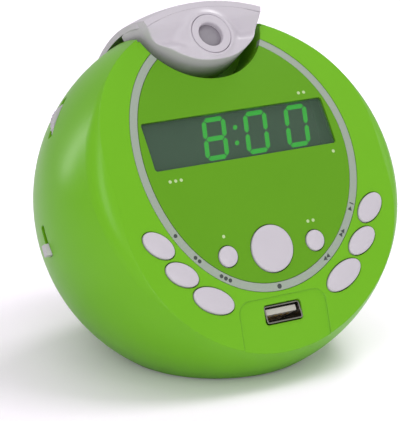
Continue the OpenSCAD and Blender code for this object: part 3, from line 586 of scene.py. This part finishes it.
class CLOCK_OT_keys(bpy.types.Operator):
    """Crowned caps of the nine keys."""

    bl_idname = "clock.keys"
    bl_label = "Keys"

    def execute(self, context):
        sizes = context.scene.clock_sizes
        crown, edge = sizes.key_crown / MM, sizes.key_edge / MM
        keys = [(name, shape, 1) for name, shape in ROUND_KEYS.items()]
        for name, shape in OVAL_KEYS.items():
            keys += [(f"left_{name}", shape, -1), (f"right_{name}", shape, 1)]
        for name, shape, side in keys:
            cap = key_cap(f"{name}_key_cap", *shape, side, crown, edge)
            place(cap, "white_abs", "lilac_white_plastic", f"{name}_key", f"{name}_button")
        return {"FINISHED"}


# ---------- projector ----------

BAY_V = 56.9
LENS_V = 43.4

POD_R = 22.5
POD_FLOOR = 9.0
POD_EDGE = 0.45  # radius of the front's outer edge
POD_CHAMFER = 0.8  # bevel between round wall and floor
POD_CAP_R = 59.42  # ball of the cover's inner side, which the head meets
POD_CAP_N = 10.5  # height at which that ball bounds the head's wall
POD_BELT = 1.0  # from the outer edge down to the wall's first ring
POD_BELT_LEAST = 0.1  # least height of that ring over the bevel
POD_ROUND = 360  # points round the head
POD_EDGE_STEPS = 7
POD_CREASE = 50  # degrees
FRONT_N = 26.0
TROUGH_V = 44.6
TROUGH_HALF = 4.9
COVER_BLEND = 0.08
FRONT_RINGS = 90
FRONT_CROWDING = 1.15  # power that closes the front's rings up towards the lens

NOSE_R = 6.95  # radius of the well that the focus ring turns in
NOSE_TOP = 27.0
NOSE_LIP = 7.75  # radius of the boss's flat end
NOSE_SLOPE = 0.94
NOSE_BLEND = 1.6
NOSE_CHAMFER = 0.2
TUBE_N = 16.7  # bottom of the well

COLLAR_TOP = 27.1
COLLAR_FOOT = 18.1
COLLAR_EDGE = 0.25
COLLAR_DISH = 0.2  # how far the ring's face falls towards its bore
COLLAR_BORE = 4.2
COLLAR_MOUTH = 0.7  # radius of the bore's rounded mouth
COLLAR_SEAT_R = 5.05  # the hole that holds the lens
COLLAR_SEAT_N = 24.64
COLLAR_ROUND = 128  # points round the ring
COLLAR_EDGE_STEPS = 6
COLLAR_MOUTH_STEPS = 8


def pod_front(u, v, depth):
    """Front of the projector: a flat rim height less a level trough of squared-cosine section, and a cone
    round the lens standing out of it, the two blended."""
    flat = FRONT_N - depth * hump((v - TROUGH_V) / TROUGH_HALF)
    r = np.hypot(u, v - LENS_V)
    cone = np.minimum(NOSE_TOP, NOSE_TOP - NOSE_SLOPE * (r - NOSE_LIP))
    front = soft_max(flat, cone, NOSE_BLEND)
    under_cover = np.sqrt(np.maximum(POD_CAP_R**2 - u**2 - v**2, 1.0))
    return -soft_max(-front, -under_cover, COVER_BLEND)


def head_reach(t):
    """Distance from the lens axis, at each angle, to the round wall, or to the cover's ball where that is
    nearer."""
    up = (BAY_V - LENS_V) * np.sin(t)
    to_wall = up + np.sqrt(POD_R**2 - (BAY_V - LENS_V) ** 2 + up**2)
    back = LENS_V * np.sin(t)
    to_cap = np.sqrt(POD_CAP_R**2 - POD_CAP_N**2 - LENS_V**2 + back**2) - back
    return np.minimum(to_wall, to_cap)


def projector_head(depth):
    """Skin of the head in rings about the lens axis: up the well, over the front, round a quarter-circle
    edge and down the wall to the floor. The front's rings close up towards the lens with a power."""
    t = turn(POD_ROUND)
    reach = head_reach(t)
    first, last = NOSE_R + NOSE_CHAMFER, reach - POD_EDGE
    well_r = np.full((2, len(t)), NOSE_R)
    well_n = np.array([[TUBE_N], [NOSE_TOP - NOSE_CHAMFER]]) + 0 * t
    front_r = first + (last - first) * np.linspace(0, 1, FRONT_RINGS)[:, None] ** FRONT_CROWDING
    front_n = pod_front(front_r * np.cos(t), LENS_V + front_r * np.sin(t), depth)
    edge = arc((0, -POD_EDGE), POD_EDGE, 90, 0, POD_EDGE_STEPS)[1:]
    edge_r, edge_n = last + edge[:, :1], front_n[-1] + edge[:, 1:]
    wall_r = np.stack([reach, reach, reach - POD_CHAMFER])
    wall_n = np.stack([
        np.maximum(edge_n[-1] - POD_BELT, POD_FLOOR + POD_CHAMFER + POD_BELT_LEAST),
        np.full_like(t, POD_FLOOR + POD_CHAMFER),
        np.full_like(t, POD_FLOOR),
    ])
    r = np.concatenate([well_r, front_r, edge_r, wall_r])
    n = np.concatenate([well_n, front_n, edge_n, wall_n])
    rows = in_pod(r * np.cos(t), LENS_V + r * np.sin(t), n)
    return skin("projector_head", rows, smooth=POD_CREASE)


def focus_collar(groove):
    """Section of the focus ring, turned about the lens axis: a foot, an eased outer edge, a face that falls
    towards the bore, the bore's rounded mouth, and the wider hole that holds the lens."""
    outer = NOSE_R - groove
    mouth_n = COLLAR_TOP - COLLAR_DISH - COLLAR_MOUTH
    section = np.concatenate([
        [[COLLAR_SEAT_R, COLLAR_FOOT], [outer, COLLAR_FOOT]],
        arc((outer - COLLAR_EDGE, COLLAR_TOP - COLLAR_EDGE), COLLAR_EDGE, 0, 90, COLLAR_EDGE_STEPS),
        arc((COLLAR_BORE + COLLAR_MOUTH, mouth_n), COLLAR_MOUTH, 90, 180, COLLAR_MOUTH_STEPS),
        [[COLLAR_BORE, COLLAR_SEAT_N], [COLLAR_SEAT_R, COLLAR_SEAT_N], [COLLAR_SEAT_R, COLLAR_FOOT]],
    ])
    t = turn(COLLAR_ROUND)
    r, n = section[:, :1] + 0 * t, section[:, 1:] + 0 * t
    rows = in_pod(r * np.cos(t), LENS_V + r * np.sin(t), n)
    return skin("focus_collar", rows, start=False, end=False)


class CLOCK_OT_projector(bpy.types.Operator):
    """Projector head: its front as one soft skin, and the focus ring."""

    bl_idname = "clock.projector"
    bl_label = "Projector"

    def execute(self, context):
        sizes = context.scene.clock_sizes
        head = projector_head(sizes.trough_depth / MM)
        place(head, "white_abs", "lilac_white_plastic", "projector", "projector_body")
        collar = focus_collar(sizes.groove / MM)
        place(collar, "white_abs", "lilac_white_plastic", "focus", "focus_ring")
        return {"FINISHED"}


# ---------- prints ----------

# Half width, half height and middle of the line that runs round the ring's band
RING_A = 38.0
RING_B = 43.9
RING_V = 6.9
RING_INK_N = -0.07  # heights of the prints over the rolled face
FACE_INK_N = 0.03
INK_WALL = 0.06

# Outlines of the marks, one across, and sized where they are printed
TRIANGLE = [[-0.5, -0.55], [0.5, 0.0], [-0.5, 0.55]]
BAR = [[-0.13, -0.55], [0.13, -0.55], [0.13, 0.55], [-0.13, 0.55]]
DOT_POINTS = 20
DOT = np.stack([0.5 * np.cos(turn(DOT_POINTS)), 0.5 * np.sin(turn(DOT_POINTS))], -1)

# Dots on the ring, beside the keys on the left: angle from the ring's top, clockwise, and how many
RING_DOTS = ((239, 1), (225, 2), (209, 3))
RING_DOT = 1.3
RING_DOT_STEP = 2.4  # degrees
LOW_DOT = 1.6  # single dot over the socket

# Arrows on the ring, beside the keys on the right: angle, turn, and each shape with its place along it
ARROWS = (
    (122, 58, ((-0.5, TRIANGLE), (0.75, BAR))),
    (135, 44, ((-0.5, TRIANGLE), (0.5, TRIANGLE))),
    (150, 210, ((-0.5, TRIANGLE), (0.5, TRIANGLE))),
)
ARROW = 1.4

# Dots on the panel: place across, place up, and how many
FACE_DOTS = ((-16.1, -18.6, 1), (16.1, -18.6, 2), (-27.6, 1.4, 3), (27.0, 24.2, 2), (31.4, 2.6, 1))
FACE_DOT = 1.1
FACE_DOT_STEP = 1.98


def spread(count, step):
    """Places of a row of marks, step apart, round nought."""
    return [(k - (count - 1) / 2) * step for k in range(count)]


def on_ring(outline, at_angle, size, turned=0.0):
    """Outline brought to the middle of the ring's band, at an angle from its top, clockwise."""
    a = math.radians(at_angle)
    points = np.asarray(outline, float) * size
    c, s = math.cos(math.radians(turned)), math.sin(math.radians(turned))
    u = RING_A * math.sin(a) + points[:, 0] * c - points[:, 1] * s
    v = RING_V + RING_B * math.cos(a) + points[:, 0] * s + points[:, 1] * c
    return np.stack([u, v], -1)


def print_marks(name, outlines, lift):
    """Thin slabs of ink: each outline follows the rolled face, raised by lift, with a wall down into it."""
    points, faces, used = [], [], 0
    for flat in outlines:
        n = len(flat)
        for depth in (0, INK_WALL):
            points.append(in_face(flat[:, 0], flat[:, 1], face_height(flat[:, 1]) + lift - depth))
        faces += [list(range(used, used + n)), list(range(used + n, used + 2 * n))]
        i = np.arange(n)
        k = (i + 1) % n
        faces += np.stack([used + i, used + k, used + n + k, used + n + i], -1).tolist()
        used += 2 * n
    return mesh_object(name, np.concatenate(points), faces)


class CLOCK_OT_prints(bpy.types.Operator):
    """Plain dots and arrows printed on ring and face, where the keys need telling apart."""

    bl_idname = "clock.prints"
    bl_label = "Prints"

    def execute(self, context):
        marks = [
            on_ring(DOT, at + more, RING_DOT)
            for at, count in RING_DOTS
            for more in spread(count, RING_DOT_STEP)
        ]
        marks.append(on_ring(DOT, 180, LOW_DOT))
        marks += [
            on_ring(np.asarray(shape, float) + [along, 0], at, ARROW, turned)
            for at, turned, shapes in ARROWS
            for along, shape in shapes
        ]
        place(print_marks("ring_marks", marks, RING_INK_N), "dark_ink", "black_plastic", "case")

        dots = [
            DOT * FACE_DOT + [at_u + more, at_v]
            for at_u, at_v, count in FACE_DOTS
            for more in spread(count, FACE_DOT_STEP)
        ]
        place(print_marks("face_marks", dots, FACE_INK_N), "pale_ink", "panel_plastic", "case")
        return {"FINISHED"}


# ---------- stage ----------

WHITE = (1, 1, 1, 1)
FLOOR_HALF = 3.0
FLOOR_SHOWN = (0.97, 0.89, 1, 1)  # short of green, because the clock throws its own on the floor
FLOOR_LIFT = 0.06
SKY = 0.52

# Name, place, width, height and power of each lamp, all aimed at the middle of the ball. The strip is only
# seen as a streak in the gloss, and the floor lamp lights the floor alone, with the clock's shadow on it.
LAMPS = (
    ("key", (-0.75, -0.55, 0.75), 0.35, 0.7, 2.1),
    ("fill", (1.0, -0.3, 0.55), 0.4, 0.6, 0.8),
    ("back", (0.85, 0.6, 0.95), 0.4, 0.4, 6.0),
    ("front", (-0.2, -1.15, 0.15), 0.6, 0.4, 3.0),
    ("top", (-0.2, -0.1, 1.1), 0.7, 0.7, 2.0),
    ("strip", (-0.65, 0.745, 0.36), 0.055, 0.55, 1.5),
    ("floor", (0.42, -0.3, 1.1), 0.5, 0.5, 4.7),
)
LAMP_AIM = Vector((0, 0, 0.05))

CAMERA_AZIMUTH = math.radians(-30)
CAMERA_ELEVATION = math.radians(17.57)
CAMERA_DISTANCE = 0.714
FOCAL_LENGTH = 185.3
SENSOR_WIDTH = 36
LENS_SHIFT = (-0.0373, -0.0275)


def aimed(name, data, at, back):
    """Object of a lamp or camera at a place, looking away from back."""
    holder = bpy.data.objects.new(name, data)
    holder.location = at
    holder.rotation_mode = "QUATERNION"
    holder.rotation_quaternion = back.to_track_quat("Z", "Y")
    bpy.context.scene.collection.objects.link(holder)
    return holder


def lay_floor(colour):
    """Level square under the clock: one colour for the light that it throws back, and a paler one, lifted a
    little, for the camera."""
    mesh = bpy.data.meshes.new("floor")
    h = FLOOR_HALF
    mesh.from_pydata([(-h, -h, 0), (h, -h, 0), (h, h, 0), (-h, h, 0)], [], [(0, 1, 2, 3)])
    floor = bpy.data.objects.new("floor", mesh)
    bpy.context.scene.collection.objects.link(floor)
    made, tree = fresh("pale_floor")
    seen = add(tree, "ShaderNodeLightPath").outputs["Is Camera Ray"]
    own = add(tree, "ShaderNodeBsdfDiffuse", {"Color": (*colour, 1)})
    shown = add(tree, "ShaderNodeBsdfDiffuse", {"Color": FLOOR_SHOWN})
    lift = add(tree, "ShaderNodeEmission", {"Color": WHITE, "Strength": FLOOR_LIFT})
    both = add(tree, "ShaderNodeAddShader", (), {0: shown.outputs[0], 1: lift.outputs[0]})
    pick = add(tree, "ShaderNodeMixShader", (), {0: seen, 1: own.outputs[0], 2: both.outputs[0]})
    add(tree, "ShaderNodeOutputMaterial", (), {"Surface": pick.outputs[0]})
    floor.data.materials.append(made)
    return floor


def paint_sky(light):
    """White all round: plain white where it is seen, also through the window, and dimmer as a light."""
    world = bpy.data.worlds.new("studio")
    bpy.context.scene.world = world
    world.use_nodes = True
    tree = world.node_tree
    tree.nodes.clear()
    path = add(tree, "ShaderNodeLightPath").outputs
    direct = add(
        tree,
        "ShaderNodeMath",
        {"operation": "MAXIMUM"},
        {0: path["Is Camera Ray"], 1: path["Is Transmission Ray"]},
    )
    sky = add(tree, "ShaderNodeBackground", {"Color": WHITE, "Strength": SKY * light})
    plain = add(tree, "ShaderNodeBackground", {"Color": WHITE, "Strength": 1.0})
    pick = add(
        tree, "ShaderNodeMixShader", (), {0: direct.outputs[0], 1: sky.outputs[0], 2: plain.outputs[0]}
    )
    add(tree, "ShaderNodeOutputWorld", (), {"Surface": pick.outputs[0]})


def hang_lamps(light, floor):
    """Soft rectangular lamps of the table above."""
    floor_alone = bpy.data.collections.new("floor_alone")
    floor_alone.objects.link(floor)
    for name, at, width, height, power in LAMPS:
        lamp = bpy.data.lights.new(name, "AREA")
        lamp.shape = "RECTANGLE"
        lamp.size, lamp.size_y = width, height
        lamp.energy = power * light
        holder = aimed(name, lamp, at, Vector(at) - LAMP_AIM)
        holder.visible_diffuse = name != "strip"
        if name == "floor":
            holder.light_linking.receiver_collection = floor_alone


def set_camera():
    """Long lens on the ball's centre, shifted to the framing."""
    lens = bpy.data.cameras.new("camera")
    lens.sensor_width = SENSOR_WIDTH
    lens.lens = FOCAL_LENGTH
    lens.shift_x, lens.shift_y = LENS_SHIFT
    level = math.cos(CAMERA_ELEVATION)
    back = Vector((
        math.sin(CAMERA_AZIMUTH) * level,
        -math.cos(CAMERA_AZIMUTH) * level,
        math.sin(CAMERA_ELEVATION),
    ))
    at = Vector(BALL_CENTRE) * MM + back * CAMERA_DISTANCE
    bpy.context.scene.camera = aimed("camera", lens, at, back)


class CLOCK_OT_stage(bpy.types.Operator):
    """Pale floor, soft lamps and the camera."""

    bl_idname = "clock.stage"
    bl_label = "Stage"

    def execute(self, context):
        looks = context.scene.clock_looks
        context.scene.view_settings.view_transform = "Standard"
        floor = lay_floor(looks.floor_colour)
        paint_sky(looks.light)
        hang_lamps(looks.light, floor)
        set_camera()
        return {"FINISHED"}


# ---------- add-on ----------


class CLOCK_PT_panel(bpy.types.Panel):
    """Lists the clock's sizes and its pieces."""

    bl_label = "Projection Alarm Clock"
    bl_space_type = "VIEW_3D"
    bl_region_type = "UI"
    bl_category = "Clock"

    def draw(self, context):
        for group in (context.scene.clock_sizes, context.scene.clock_looks):
            for key in group.__annotations__:
                self.layout.prop(group, key)
        for step in STEPS:
            self.layout.operator(step.bl_idname)


STEPS = (CLOCK_OT_finishes, CLOCK_OT_keys, CLOCK_OT_projector, CLOCK_OT_prints, CLOCK_OT_stage)
CLASSES = (ClockSizes, ClockLooks, *STEPS, CLOCK_PT_panel)


def register():
    for kind in CLASSES:
        bpy.utils.register_class(kind)
    bpy.types.Scene.clock_sizes = bpy.props.PointerProperty(type=ClockSizes)
    bpy.types.Scene.clock_looks = bpy.props.PointerProperty(type=ClockLooks)


def unregister():
    del bpy.types.Scene.clock_looks
    del bpy.types.Scene.clock_sizes
    for kind in reversed(CLASSES):
        bpy.utils.unregister_class(kind)


def main():
    """Runs every step in order."""
    register()
    for step in STEPS:
        group, name = step.bl_idname.split(".")
        if getattr(getattr(bpy.ops, group), name)() != {"FINISHED"}:
            raise RuntimeError(f"{step.bl_label} didn't finish")


if __name__ == "__main__":
    main()
